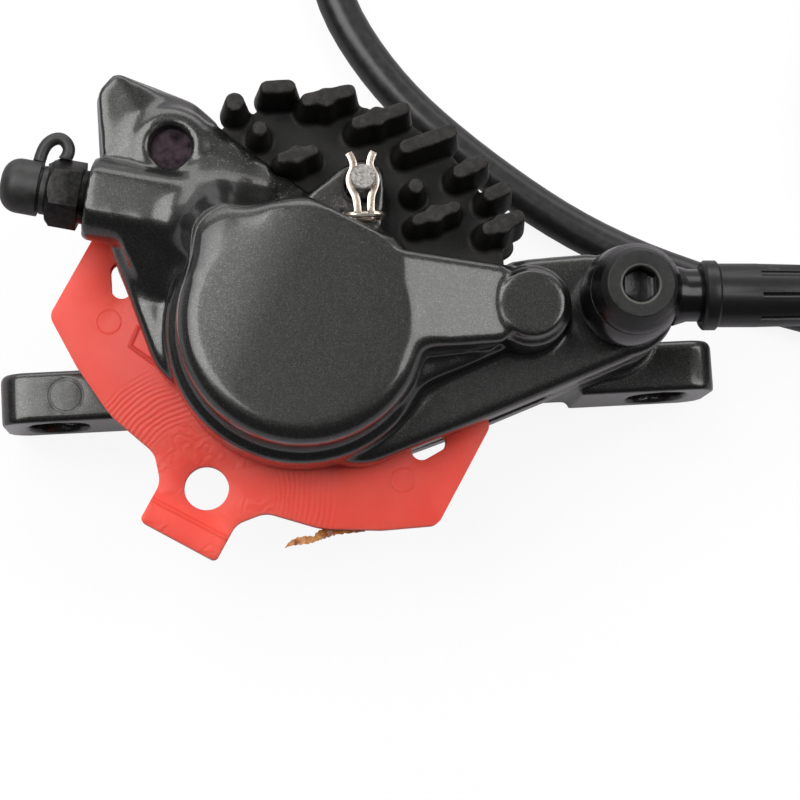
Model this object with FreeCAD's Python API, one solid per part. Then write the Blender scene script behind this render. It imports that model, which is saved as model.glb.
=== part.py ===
import FreeCAD, Part
import math
import os

# A bicycle disc brake caliper with two pistons and a hydraulic hose, lying on its back.
# The row frame is in millimetres: X runs along the two mounting lugs, Y leaves the mounting
# seat, and Z is the piston axis. The origin lies on the seat, half way between the lugs.
# The caliper itself is drawn in a pad frame, in which u lies across the pads, v points away
# from the hub, and the height is counted from the middle of the rotor.

Vector = FreeCAD.Vector

# Mounting lugs
post_spacing = 74.0
lug_depth = 13.5
lug_height = 6.2
lug_overhang = 6.6
lug_end_radius = 3.2
lug_foot_step = 0.8
lug_foot_start = 26.8
slot_width = 7.0
slot_length = 9.6
eject_mark_radius = 2.15
eject_mark_depth = 0.3

# Place of the pad frame in the row frame
piston_x = -7.5
piston_y = 7.0
pad_angle = 28.0
rotor_plane_z = 14.0

# Rotor that the caliper is made for
rotor_radius = 80.0
rotor_reach = 11.5
rotor_play = 0.8
slot_half_gap = 2.0

# Caliper halves
piston_radius = 11.0
piston_play = 0.03
housing_wall = 3.0
housing_round = 2.3
cap_thickness = 2.8
step_wall = 1.4
step_height = 10.6
step_round = 1.3
skirt_height = 7.6
skirt_round = 1.4
deck_height = 9.6
deck_round = 1.6
horn_height = 9.2
horn_far_height = 7.4
shoulder_far_height = 8.8
bolt_spread = 22.5
bolt_rise = 12.85
arm_height = 15.4
arm_round = 1.0
left_arm_height = 12.2
foot_start = 11.0
foot_end = 7.7
web_drop = 0.05
bolt_boss_radius = 3.9
bolt_boss_height = 16.0
bolt_boss_step = 0.8
ring_boss_radius = 4.1
ring_boss_height = 10.0
ring_boss_hole = 2.45
hose_boss_u = 32.4
hose_boss_v = 19.2
hose_boss_radius = 6.3
hose_boss_height = 7.6

# How far the front housing's wall over the pads leans back, for each millimetre up
trim_slope = 0.25

# Pads and their place
pad_start = 1.8
friction_thickness = 2.0
backplate_thickness = 1.2
fin_thickness = 1.4
fin_height = 6.0
fin_flare = 0.75
pad_play = 0.35
pad_travel = 0.5
pad_half_width = 12.6
pad_shoulder_step = 1.6
pad_bottom = -11.5
pad_top = 13.3
pad_ear_radius = 3.3
pin_u = -0.8
pin_v = 18.0
fin_edge_u = -0.4
fin_edge_v = 6.6
fin_edge_radius = 21.4
spring_thickness = 0.3
spring_leaf_width = 0.7
spring_length = 9.7
spring_bridge = 3.0

# Pad pin and its clip
pin_radius = 1.45
pin_play = 0.15
pin_front = 15.0
pin_rear = 10.5
ear_half_width = 4.6
ear_radius = 3.0
ear_height = 10.5
ear_window = 1.95
clip_groove = 13.1
clip_neck = 0.95
clip_thickness = 0.8
clip_wire = 0.8
clip_loop_radius = 1.3
clip_loop_run = 0.8
clip_loop_drop = 4.05
clip_play = 0.3
pin_head_radius = 2.4
pin_head_height = 1.6
pin_hex = 2.5

# Pistons and seals
piston_length = 8.6
piston_cup_radius = 6.5
piston_cup_depth = 5.0
piston_end_gap = 0.7
seal_depth = 1.0
seal_height = 2.0
seal_start = 10.2

# Fluid port between the halves
port_u = 29.6
port_v = 17.0
port_radius = 0.8
port_seal_radius = 1.35
port_seal_wire = 0.5

# Body bolts
bolt_radius = 2.4
bolt_play = 0.05
bolt_head_radius = 4.2
bolt_head_height = 4.0
bolt_seat = 8.0
bolt_hex = 4.0
bolt_end = 12.5
bolt_cup_radius = 5.6

# Bleed nipple
bleed_u = -28.6
bleed_v = 3.7
bleed_tilt = 15.0
bleed_height = 8.0
bleed_boss_radius = 4.8
bleed_boss_length = 21.0
bleed_flat = 12.2
nipple_hex = 7.0
nipple_thread = 2.95
nipple_play = 0.05
nipple_length = 9.0
nipple_collar = 0.6
nipple_hex_length = 3.7
spigot_radius = 1.9
cap_radius = 3.15
cap_length = 4.4
tether_radius = 0.72

# Hose joint
eye_radius = 5.75
eye_end_radius = 5.1
eye_height = 7.6
hose_seal_height = 0.5
hose_seal_width = 1.5
banjo_angle = -2.7
banjo_bore = 3.05
neck_radius = 3.0
neck_end = 8.9
banjo_bolt_radius = 2.9
banjo_head_radius = 5.15
banjo_face_radius = 3.75
banjo_head_rim = 0.5
banjo_head_height = 3.3
banjo_hex = 3.5
banjo_bolt_depth = 6.2
boot_ring_radius = 4.0
boot_ring_length = 1.9
boot_radius = 3.65
boot_end_radius = 3.25
boot_smooth = 4.6
boot_length = 25.0
boot_flutes = 8
boot_flute_radius = 0.42

# Hose
hose_radius = 2.5
floor_z = -0.5 * lug_depth
coil_x = 93.5
coil_y = 36.0
coil_mid_radius = 26.0
coil_band = 10.0
layer_z = floor_z + 3 * hose_radius
tail_z = floor_z + 6 * hose_radius + 0.3
tail_step = 35.0
tail_run = 25.0

# Connector on the hose's far end
nut_hex = 8.0
nut_hex_length = 4.2
nut_flange = 0.8
nut_flange_radius = 4.9
nut_thread_radius = 3.9
nut_thread_length = 5.4
nut_gap = 0.4
olive_length = 3.6
olive_radius = 3.5
olive_inset = 0.8

# Transport spacer between the pads
spacer_x = -19.2
spacer_y = -9.7
spacer_angle = 31.4
spacer_thickness = 2.2
spacer_wing = 25.8
spacer_wing_low = 9.0
spacer_wing_high = 22.6
spacer_grip = 5.0
spacer_grip_length = 7.0
tongue_half_width = 13.2
tongue_top = 31.0
spacer_hole = 2.6
spacer_slot_radius = 1.2
grip_extra = 0.5

bore_radius = piston_radius
housing_radius = piston_radius + housing_wall
step_radius = housing_radius + step_wall
backplate_start = pad_start + friction_thickness
fin_start = backplate_start + backplate_thickness
piston_start = fin_start + fin_thickness
piston_room = piston_start + piston_length + piston_end_gap
front_housing_height = piston_room + cap_thickness
rotor_offset = rotor_radius - rotor_reach
pocket_depth = piston_start + 0.3
rear_housing_height = rotor_plane_z - floor_z


def circle_wire(x, y, z, radius, axis=Vector(0, 0, 1)):
    return Part.Wire(Part.makeCircle(radius, Vector(x, y, z), axis))


def outline(corners, z=0.0):
    """A closed outline through corners (x, y, radius), each rounded by its own radius."""
    count = len(corners)
    starts, middles, ends = [], [], []
    for i in range(count):
        x, y, radius = corners[i]
        here = Vector(x, y, z)
        before = Vector(corners[i - 1][0], corners[i - 1][1], z) - here
        after = Vector(corners[(i + 1) % count][0], corners[(i + 1) % count][1], z) - here
        before.normalize()
        after.normalize()
        half = before.getAngle(after) / 2
        reach = radius / math.tan(half)
        bisector = before + after
        if radius == 0 or bisector.Length < 1e-6:
            starts.append(here)
            middles.append(None)
            ends.append(here)
            continue
        bisector.normalize()
        centre = here + bisector * (radius / math.sin(half))
        starts.append(here + before * reach)
        middles.append(centre - bisector * radius)
        ends.append(here + after * reach)
    edges = []
    for i in range(count):
        if middles[i] is not None:
            edges.append(Part.Arc(starts[i], middles[i], ends[i]).toShape())
        gap = starts[(i + 1) % count] - ends[i]
        if gap.Length > 1e-6:
            edges.append(Part.LineSegment(ends[i], starts[(i + 1) % count]).toShape())
    return Part.Wire(edges)


def slab(corners, low, high):
    """A flat plate with the given outline, from one height to another."""
    face = Part.Face(outline(corners, low))
    return face.extrude(Vector(0, 0, high - low))


def disc(radius, low, high, x=0.0, y=0.0):
    return Part.makeCylinder(radius, high - low, Vector(x, y, low))


def ring(outer, inner, low, high, x=0.0, y=0.0):
    return disc(outer, low, high, x, y).cut(disc(inner, low - 1, high + 1, x, y))


def hexagon(across_flats, low, high, x=0.0, y=0.0):
    corner = across_flats / math.sqrt(3)
    turns = [math.radians(60 * k + 30) for k in range(6)]
    return slab([(x + corner * math.cos(a), y + corner * math.sin(a), 0) for a in turns], low, high)


def rim_edges(shape, height):
    """The edges of a shape that lie at one height."""
    found = []
    for edge in shape.Edges:
        box = edge.BoundBox
        if abs(box.ZMin - height) < 1e-4 and abs(box.ZMax - height) < 1e-4:
            found.append(edge)
    return found


def rounded_rim(shape, height, radius):
    return shape.makeFillet(radius, rim_edges(shape, height))


def stadium(x0, y0, x1, y1, radius, z):
    """A long round-ended outline between two centres."""
    angle = math.atan2(y1 - y0, x1 - x0)
    side = Vector(-math.sin(angle) * radius, math.cos(angle) * radius, 0)
    tip = Vector(math.cos(angle) * radius, math.sin(angle) * radius, 0)
    a = Vector(x0, y0, z)
    b = Vector(x1, y1, z)
    return Part.Wire([
        Part.LineSegment(a - side, b - side).toShape(),
        Part.Arc(b - side, b + tip, b + side).toShape(),
        Part.LineSegment(b + side, a + side).toShape(),
        Part.Arc(a + side, a - tip, a - side).toShape(),
    ])


def long_slot(x0, y0, x1, y1, radius, low, high):
    return Part.Face(stadium(x0, y0, x1, y1, radius, low)).extrude(Vector(0, 0, high - low))


def tapered(low, high):
    """A flat-sided solid between two outlines of points, one above the other."""
    faces = [Part.Face(Part.makePolygon(points + [points[0]])) for points in (low, high)]
    for k in range(len(low)):
        side = [low[k - 1], low[k], high[k], high[k - 1]]
        faces.append(Part.Face(Part.makePolygon(side + [side[0]])))
    return Part.makeSolid(Part.makeShell(faces))


def moved(shape, x=0.0, y=0.0, z=0.0, turn=0.0):
    placed = shape.copy()
    placed.rotate(Vector(0, 0, 0), Vector(0, 0, 1), turn)
    placed.translate(Vector(x, y, z))
    return placed


def in_row(shape):
    """Carries a shape from the pad frame to the row frame."""
    return moved(shape, piston_x, piston_y, rotor_plane_z, -pad_angle)


def in_pad_frame(shape):
    """Carries a shape from the row frame to the pad frame."""
    back = shape.copy()
    back.translate(Vector(-piston_x, -piston_y, -rotor_plane_z))
    back.rotate(Vector(0, 0, 0), Vector(0, 0, 1), pad_angle)
    return back


def to_rear(shape):
    return shape.mirror(Vector(0, 0, 0), Vector(0, 0, 1))


def joined(shapes):
    whole = shapes[0].multiFuse(shapes[1:])
    return whole.removeSplitter()


# Outline that the two cast halves share, seen from the front
half_corners = [
    (-23.8, -0.4, 1.2), (-13.4, -10.6, 7.0), (0.0, -14.9, 20.0), (13.4, -10.6, 7.0),
    (24.2, 0.9, 8.0), (hose_boss_u + 4.6, hose_boss_v - 4.3, 2.0),
    (hose_boss_u - 4.6, hose_boss_v + 4.5, 2.5), (20.4, 19.4, 4.0), (13.0, 14.2, 4.0),
    (-4.0, 13.7, 6.0), (-16.2, 17.6, 5.0), (-22.5, 19.5, 5.0), (-32.2, 18.8, 1.6),
    (-33.2, 15.2, 2.0), (-29.6, 8.6, 1.0),
]

# The rear half's skirt draws in a little below the piston housing
rear_corners = [(-23.8, -0.4, 1.2), (-13.2, -9.9, 7.0), (0.0, -14.1, 20.0), (13.6, -9.8, 7.0)] + half_corners[4:]

# Band round the top of the housing, which covers the pads
deck_corners = [
    (-21.0, 17.8, 3.0), (-26.5, 8.0, 2.0), (-16.0, 1.0, 3.0), (0.0, -8.0, 3.0), (13.0, -4.0, 1.0),
    (14.9, -0.4, 5.0), (22.6, 8.4, 1.5), (27.0, 10.6, 2.5), (20.2, 18.6, 3.5), (13.0, 14.0, 4.0),
    (-4.0, 13.5, 6.0), (-15.5, 16.9, 4.0),
]

horn_corners = [
    (-29.3, 9.0, 0.8), (-32.9, 15.3, 2.0), (-32.0, 18.6, 1.4), (-22.5, 19.2, 4.0),
    (-15.0, 16.6, 2.0), (-14.0, 8.0, 0.5),
]

horn_slope = [(-28.2, 16.0), (-24.9, 20.7)]

# Foot of the front housing's wall over the pads
trim_line = [(-45.0, 28.0), (-21.3, 18.2), (-16.3, 16.6), (-6.0, 14.7), (4.1, 14.4), (11.6, 15.7),
             (20.3, 19.5), (45.0, 30.0)]

# Webs whose tops slope: from the housing's face to the right bolt boss, with a shelf below it, and
# to the bleed boss; from the bleed boss to the wall over the pads, and from it down to the skirt
arm_corners = [(1.0, 9.8, 1.5), (19.2, 16.3, 2.0), (22.9, 8.4, 2.0), (12.9, 2.35, 3.0),
               (11.6, -3.2, 0.6), (6.0, -3.2, 1.0)]
arm_slope = [(10.2, 5.8), (20.5, 11.7)]
shelf_corners = [(2.0, 8.0, 1.5), (20.0, 14.0, 1.5), (22.9, 8.6, 1.5), (15.5, 0.2, 4.0),
                 (14.4, -5.4, 0.6), (6.0, -5.5, 1.0)]
shelf_slope = [(13.0, 3.0), (20.5, 11.7)]
left_arm_corners = [(-1.0, 11.6, 1.5), (-7.5, 10.8, 3.0), (-13.0, 9.2, 2.0), (-19.5, 9.4, 1.5),
                    (-19.5, 5.6, 1.5), (-13.6, -1.2, 2.5), (-8.0, -3.0, 1.5)]
left_arm_slope = [(-12.0, 4.6), (-17.8, 7.0)]
shoulder_corners = [(-19.2, 5.5, 1.0), (-3.0, 5.5, 1.0), (-3.0, 16.5, 1.0), (-19.2, 19.5, 1.0)]
shoulder_slope = [(-12.0, 8.0), (-12.0, 16.6)]
foot_corners = [(-26.0, 4.5, 1.0), (-12.0, 4.5, 1.0), (-12.0, -3.5, 1.0), (-17.6, -4.8, 1.5),
                (-22.0, -1.2, 1.5)]
foot_slope = [(-20.5, 2.0), (-18.8, -4.3)]

# Bars and pins that stand on a cooling fin: two ends in the pad frame, and the tip radius
fin_bars = [
    (-15.2, 23.3, -13.0, 24.5, 0.8), (-10.4, 24.0, -6.6, 27.0, 0.8), (-4.1, 24.0, -0.1, 27.8, 0.8),
    (2.1, 23.9, 5.9, 27.7, 0.85), (8.8, 23.9, 10.6, 26.0, 0.85), (13.1, 23.0, 14.3, 24.3, 0.85),
    (14.6, 19.3, 17.0, 21.9, 0.85), (-10.1, 16.6, -7.4, 18.9, 0.7), (6.8, 16.7, 10.0, 19.9, 0.7),
]
fin_pins = [
    (-17.8, 20.2, 1.1), (-13.9, 18.6, 0.9), (5.0, 20.2, 0.9), (-8.6, 25.2, 1.15), (-2.4, 25.7, 1.15),
    (9.7, 25.1, 1.05), (15.8, 20.5, 1.2), (-8.8, 17.7, 1.1), (8.3, 18.2, 1.1),
]


def backplate_corners(extra=0.0):
    """The outline of a pad's steel plate with its shoulders and ear, widened by a clearance."""
    shoulder = pad_half_width + pad_shoulder_step + extra
    right = [
        (pad_half_width + extra, pad_bottom - extra, 6.0),
        (pad_half_width + extra, 6.0 - extra, 0.4),
        (shoulder, 7.2 - extra, 0.4),
        (shoulder, pad_top - 1.8 + extra, 1.0),
    ]
    left = [(-x, y, radius) for x, y, radius in reversed(right)]
    ear = pad_ear_radius + extra
    top = [
        (pin_u + ear + 1.9, pad_top + extra, 1.5), (pin_u + ear, pin_v + ear, 2.4),
        (pin_u - ear, pin_v + ear, 2.4), (pin_u - ear - 1.9, pad_top + extra, 1.5),
    ]
    return right + top + left


def fin_sheet(low, high, extra=0.0):
    """The flat of a cooling fin: a broad band whose far edge is an arc."""
    band = disc(fin_edge_radius + extra, low, high, fin_edge_u, fin_edge_v)
    window = slab([(-14.0 - extra, 11.6 - extra, 0), (15.0 + extra, 11.6 - extra, 0),
                   (20.0 + extra, 17.6 - extra, 0), (20.0 + extra, 40, 0), (-20.0 - extra, 40, 0),
                   (-20.0 - extra, 17.6 - extra, 0)], low, high)
    body = slab(backplate_corners(extra - 0.3), low, high)
    return joined([band.common(window), body])


def pad_backplate():
    plate = slab(backplate_corners(), backplate_start, fin_start)
    return plate.cut(disc(pin_radius + pin_play, 0, 20, pin_u, pin_v))


def pad_friction():
    half = pad_half_width - 1.2
    return slab([(-half, pad_bottom + 0.8, 5.5), (half, pad_bottom + 0.8, 5.5), (half - 0.6, 10.4, 2.5),
                 (-half + 0.6, 10.4, 2.5)], pad_start, backplate_start)


def fin_stubs(extra=0.0):
    """The bars and pins of a cooling fin, which thin towards their tips, widened by a clearance."""
    top = piston_start + fin_height
    ends = [(x, y, radius) for x, y, radius in fin_pins]
    stubs = []
    for x0, y0, x1, y1, radius in fin_bars:
        ends += [(x0, y0, radius), (x1, y1, radius)]
        long = math.hypot(x1 - x0, y1 - y0)
        across, along = (y0 - y1) / long, (x1 - x0) / long
        outlines = []
        for level, half in ((fin_start, radius + fin_flare + extra), (top, radius + extra)):
            dx, dy = across * half, along * half
            outlines.append([Vector(x0 + dx, y0 + dy, level), Vector(x0 - dx, y0 - dy, level),
                             Vector(x1 - dx, y1 - dy, level), Vector(x1 + dx, y1 + dy, level)])
        stubs.append(tapered(*outlines))
    for x, y, radius in ends:
        stubs.append(Part.makeCone(radius + fin_flare + extra, radius + extra, top - fin_start,
                                   Vector(x, y, fin_start)))
    return stubs


def cooling_fin():
    whole = joined([fin_sheet(fin_start, piston_start)] + fin_stubs())
    return whole.cut(disc(pin_radius + pin_play, 0, 20, pin_u, pin_v))


def piston():
    low = piston_start
    barrel = disc(piston_radius - piston_play, low, low + piston_length)
    barrel = rounded_rim(barrel, low + piston_length, 0.5)
    return barrel.cut(disc(piston_cup_radius, low - 1, low + piston_cup_depth))


def piston_seal():
    return ring(bore_radius + seal_depth, bore_radius, seal_start, seal_start + seal_height)


def pad_pocket():
    """The room that a pad and its fin need inside a half, open at the top."""
    plate = slab(backplate_corners(pad_play), -1, pocket_depth)
    reach = pad_ear_radius + 2
    ear = slab([(pin_u - reach, 12, 0), (pin_u + reach, 12, 0), (pin_u + reach, 40, 0),
                (pin_u - reach, 40, 0)], -1, pocket_depth)
    return joined([plate, ear, fin_sheet(-1, pocket_depth, pad_play)] + fin_stubs(pad_play))


def rotor_slot():
    return disc(rotor_radius + rotor_play, -1, slot_half_gap, 0, -rotor_offset)


def pad_ear_boss(height):
    """The ear over the pads that holds the pad pin."""
    top = pin_v + ear_radius
    corners = [(pin_u - ear_half_width - 0.6, 11.0, 0.5), (pin_u + ear_half_width, 11.0, 0.5),
               (pin_u + ear_half_width - 0.4, 14.6, 1.0), (pin_u + ear_radius, 18.4, 1.5),
               (pin_u + 1.4, top, 1.2), (pin_u - 1.2, top, 1.2), (pin_u - ear_radius, 18.9, 1.2),
               (pin_u - ear_half_width - 0.5, 14.8, 1.0)]
    return rounded_rim(slab(corners, pocket_depth, height), height, 0.5)


def hydraulic_room(depth):
    """The bore of a piston with the groove of its seal, closed at its far end."""
    bore = disc(bore_radius, -1, depth)
    groove = disc(bore_radius + seal_depth, seal_start, seal_start + seal_height)
    return joined([bore, groove])


def sloped_web(corners, slope, top, far_height):
    """A web whose top falls straight from one height to another between two places."""
    (x0, y0), (x1, y1) = slope
    fall = math.atan2(top - far_height, math.hypot(x1 - x0, y1 - y0))
    web = rounded_rim(slab(corners, -30, 0), 0, arm_round)
    web.rotate(Vector(x0, y0, 0), Vector(y0 - y1, x1 - x0, 0), math.degrees(fall))
    web.translate(Vector(0, 0, top))
    return web.common(rounded_rim(slab(corners, slot_half_gap, top), top, 0.5 * arm_round))


def pad_side_trim():
    """What is trimmed off the housing above the pads, behind a wall that leans back."""
    outlines = []
    for level in (0.0, front_housing_height + 5.0):
        lean = (deck_height - level) * trim_slope
        near = [Vector(u, v + lean, level) for u, v in trim_line]
        outlines.append(near + [Vector(trim_line[-1][0], 60.0, level), Vector(trim_line[0][0], 60.0, level)])
    return tapered(*outlines)


def drilled(start, end, radius):
    return Part.makeCylinder(radius, (end - start).Length, start, end - start)


def bleed_axis(shape):
    """Lays a shape that was drawn along +Z on the axis of the bleed nipple, which points out."""
    laid = shape.copy()
    laid.rotate(Vector(0, 0, 0), Vector(0, 1, 0), -90)
    laid.rotate(Vector(0, 0, 0), Vector(0, 0, 1), bleed_tilt)
    laid.translate(Vector(bleed_u, bleed_v, bleed_height))
    return laid


def bleed_boss():
    barrel = Part.makeCylinder(bleed_boss_radius, bleed_boss_length, Vector(0, 0, -bleed_boss_length))
    barrel = rounded_rim(barrel, 0, 0.5)
    laid = bleed_axis(barrel)
    reach = bleed_boss_length + 20
    over = Part.makeBox(2 * reach, 2 * reach, 10, Vector(bleed_u - reach, bleed_v - reach, bleed_flat))
    return laid.cut(over)


def front_half():
    skirt = rounded_rim(slab(half_corners, 0, skirt_height), skirt_height, skirt_round)
    deck = rounded_rim(slab(deck_corners, slot_half_gap, deck_height), deck_height, deck_round)
    step = rounded_rim(disc(step_radius, slot_half_gap, step_height), step_height, step_round)
    housing = rounded_rim(disc(housing_radius, slot_half_gap, front_housing_height),
                          front_housing_height, housing_round)
    web_top = front_housing_height - web_drop
    webs = [sloped_web(arm_corners, arm_slope, web_top, arm_height),
            sloped_web(shelf_corners, shelf_slope, step_height, deck_height + 0.6),
            sloped_web(left_arm_corners, left_arm_slope, web_top, left_arm_height),
            sloped_web(shoulder_corners, shoulder_slope, bleed_flat, shoulder_far_height),
            sloped_web(foot_corners, foot_slope, foot_start, foot_end)]
    drum = joined([step, housing] + webs).cut(pad_side_trim())
    boss = rounded_rim(disc(bolt_boss_radius, 0, bolt_boss_height, bolt_spread, bolt_rise),
                       bolt_boss_height, 0.4)
    boss_step = rounded_rim(disc(bolt_boss_radius + bolt_boss_step, 0, arm_height - 0.8,
                                 bolt_spread, bolt_rise), arm_height - 0.8, 0.6)
    horn = sloped_web(horn_corners, horn_slope, horn_height, horn_far_height)
    ring_step = rounded_rim(disc(ring_boss_radius + 1.0, 0, ring_boss_height - 0.5,
                                 -bolt_spread, bolt_rise), ring_boss_height - 0.5, 0.45)
    ring_boss = rounded_rim(disc(ring_boss_radius, 0, ring_boss_height, -bolt_spread, bolt_rise),
                            ring_boss_height, 0.25)
    hose_boss = rounded_rim(disc(hose_boss_radius, 0, hose_boss_height, hose_boss_u, hose_boss_v),
                            hose_boss_height, 0.8)
    body = joined([skirt, deck, drum, boss_step, boss, horn, ring_step, ring_boss, hose_boss,
                   bleed_boss(), pad_ear_boss(ear_height)])
    body = body.cut(hydraulic_room(piston_room)).cut(pad_pocket()).cut(rotor_slot())
    body = body.cut(clip_room()).cut(disc(ear_window, 0, 20, pin_u, pin_v))
    body = body.cut(disc(bolt_radius + bolt_play, -1, 40, -bolt_spread, bolt_rise))
    body = body.cut(disc(bolt_radius + bolt_play, -1, bolt_end + 0.5, bolt_spread, bolt_rise))
    hose_bore = disc(banjo_bolt_radius + 0.05, hose_boss_height - banjo_bolt_depth - 0.4, 20,
                     hose_boss_u, hose_boss_v)
    thread = Part.makeCylinder(nipple_thread + nipple_play, nipple_length + 0.6,
                               Vector(0, 0, -nipple_length - 0.6))
    end = bleed_axis(Part.Vertex(0, 0, -nipple_length)).Point
    gallery = drilled(end, Vector(0.5 - bore_radius, end.y + 1.0, seal_start + seal_height + 0.8), 0.6)
    port = disc(port_radius, -1, 5.0, port_u, port_v)
    return body.cut(hose_bore).cut(bleed_axis(thread)).cut(gallery).cut(port)


def lug_bar(side):
    """One mounting lug: a bar with a round-ended slot down through it and a stepped foot."""
    end = side * (post_spacing / 2 + lug_overhang)
    half = lug_depth / 2
    root = side * 10.0
    # drawn in X and Z, then raised along Y
    corners = [(root, -half, 0), (end, -half, lug_end_radius), (end, half, lug_end_radius),
               (root, half, 0)]
    bar = slab(corners, 0, lug_height)
    relief = slab([(root - side, -half - 1, 0), (side * lug_foot_start, -half - 1, 0),
                   (side * lug_foot_start, half + 1, 0), (root - side, half + 1, 0)], -1, lug_foot_step)
    bar = bar.cut(relief)
    bar = rounded_rim(bar, lug_height, 0.8)
    shift = (slot_length - slot_width) / 2
    post = side * post_spacing / 2
    bar = bar.cut(long_slot(post, -shift, post, shift, slot_width / 2, -1, lug_height + 1))
    bar.rotate(Vector(0, 0, 0), Vector(1, 0, 0), 90)
    bar = bar.mirror(Vector(0, 0, 0), Vector(0, 1, 0))
    if side < 0:
        mark = Part.makeCylinder(eject_mark_radius, eject_mark_depth,
                                 Vector(post + 1.4, lug_height / 2, half - eject_mark_depth))
        core = Part.makeCylinder(eject_mark_radius - 0.25, 2, Vector(post + 1.4, lug_height / 2, half - 1))
        bar = bar.cut(mark.cut(core))
    return in_pad_frame(bar)


def rear_half():
    """The half that carries the lugs, drawn as a mirror image of the front about the rotor."""
    skirt = rounded_rim(slab(rear_corners, 0, skirt_height), skirt_height, skirt_round)
    deck = rounded_rim(slab(deck_corners, slot_half_gap, deck_height), deck_height, deck_round)
    step = rounded_rim(disc(step_radius, slot_half_gap, rear_housing_height - 5),
                       rear_housing_height - 5, step_round)
    housing = rounded_rim(disc(housing_radius, slot_half_gap, rear_housing_height),
                          rear_housing_height, housing_round)
    cups = [rounded_rim(disc(bolt_cup_radius, 0, bolt_seat + bolt_head_height + 0.6, side * bolt_spread,
                             bolt_rise), bolt_seat + bolt_head_height + 0.6, 0.6) for side in (-1, 1)]
    hose_boss = disc(hose_boss_radius, 0, rotor_plane_z - lug_depth / 2, hose_boss_u, hose_boss_v)
    body = to_rear(joined([skirt, deck, step, housing, hose_boss, pad_ear_boss(pin_rear)] + cups))
    body = joined([body] + [lug_bar(side) for side in (-1, 1)])
    rooms = [hydraulic_room(piston_room), pad_pocket(), rotor_slot(),
             disc(pin_radius + 0.02, 0, 30, pin_u, pin_v),
             disc(port_seal_radius + port_seal_wire + 0.05, -1, 2 * port_seal_wire, port_u, port_v),
             disc(port_radius, -1, 5.0, port_u, port_v)]
    for side in (-1, 1):
        rooms.append(disc(bolt_radius + bolt_play, -1, 40, side * bolt_spread, bolt_rise))
        rooms.append(disc(bolt_head_radius + 0.3, bolt_seat, 40, side * bolt_spread, bolt_rise))
    for room in rooms:
        body = body.cut(to_rear(room))
    return body


def body_bolt(side):
    """A socket-head bolt that pulls the halves together from the rear."""
    end = ring_boss_height - 1.6 if side < 0 else bolt_end
    shank = disc(bolt_radius, -bolt_seat, end, side * bolt_spread, bolt_rise)
    head = disc(bolt_head_radius, -bolt_seat - bolt_head_height, -bolt_seat, side * bolt_spread, bolt_rise)
    bolt = joined([shank, head])
    low = -bolt_seat - bolt_head_height
    return bolt.cut(hexagon(bolt_hex, low - 1, low + 2.4, side * bolt_spread, bolt_rise))


def port_seal():
    return Part.makeTorus(port_seal_radius, port_seal_wire, Vector(port_u, port_v, -port_seal_wire))


def pad_pin():
    """The pin through both ears and both pads, with a head at the rear and a clip groove in front."""
    shank = rounded_rim(disc(pin_radius, -pin_rear, pin_front, pin_u, pin_v), pin_front, 0.2)
    neck = ring(pin_radius + 1, clip_neck, clip_groove, clip_groove + clip_thickness + 0.1, pin_u, pin_v)
    end = -pin_rear - pin_head_height
    head = disc(pin_head_radius, end, -pin_rear, pin_u, pin_v)
    pin = joined([shank.cut(neck), head])
    return pin.cut(hexagon(pin_hex, end - 1, -pin_rear - 0.2, pin_u, pin_v))


def band(points, half_width, low, high):
    """A bent flat wire of even width along a line of points."""
    left, right = [], []
    for i, (x, y) in enumerate(points):
        x0, y0 = points[max(i - 1, 0)]
        x1, y1 = points[min(i + 1, len(points) - 1)]
        length = math.hypot(x1 - x0, y1 - y0)
        nx, ny = -(y1 - y0) / length, (x1 - x0) / length
        left.append(Vector(x + nx * half_width, y + ny * half_width, low))
        right.append(Vector(x - nx * half_width, y - ny * half_width, low))
    sides = []
    for line in (left, right):
        curve = Part.BSplineCurve()
        curve.interpolate(line)
        sides.append(curve.toShape())
    ends = [Part.LineSegment(left[0], right[0]).toShape(), Part.LineSegment(left[-1], right[-1]).toShape()]
    face = Part.Face(Part.Wire(Part.__sortEdges__([sides[0], ends[0], sides[1], ends[1]])))
    return face.extrude(Vector(0, 0, high - low))


def clip_room():
    """The room that the clip's ring needs in the housing's wall, in the pad frame."""
    reach = clip_loop_run + clip_loop_radius + clip_wire / 2 + clip_play
    centre = in_row(Part.Vertex(pin_u, pin_v, 0)).Point
    low = rotor_plane_z + clip_groove - 2 * clip_loop_radius - clip_play
    wide = clip_wire + 2 * clip_play
    near = centre.y - clip_loop_drop - wide / 2
    return in_pad_frame(Part.makeBox(2 * reach, wide, 20.0, Vector(centre.x - reach, near, low)))


def pin_clip():
    """A flat-wire clip: two legs that grip the pin's groove, flared at their tips, and a ring."""
    low = rotor_plane_z + clip_groove + 0.05
    high = low + clip_thickness
    centre = in_row(Part.Vertex(pin_u, pin_v, 0)).Point
    legs = []
    for side in (-1, 1):
        line = [(side * 0.75, -4.0), (side * 0.78, -2.9), (side * 0.95, -1.9), (side * 1.4, -0.8),
                (side * 1.38, 0.4), (side * 0.95, 1.5), (side * 1.05, 2.2), (side * 1.45, 3.0)]
        legs.append(band(line, clip_wire / 2, low, high))
    path = stadium(-clip_loop_run, 0, clip_loop_run, 0, clip_loop_radius, 0)
    section = Part.Wire(Part.makeCircle(clip_wire / 2, Vector(-clip_loop_run, -clip_loop_radius, 0),
                                        Vector(1, 0, 0)))
    loop = path.makePipeShell([section], True, True)
    loop.rotate(Vector(0, 0, 0), Vector(1, 0, 0), 90)
    loop.translate(Vector(0, -clip_loop_drop, low + clip_wire / 2 - clip_loop_radius))
    return moved(joined(legs + [loop]), centre.x, centre.y, 0)


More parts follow.
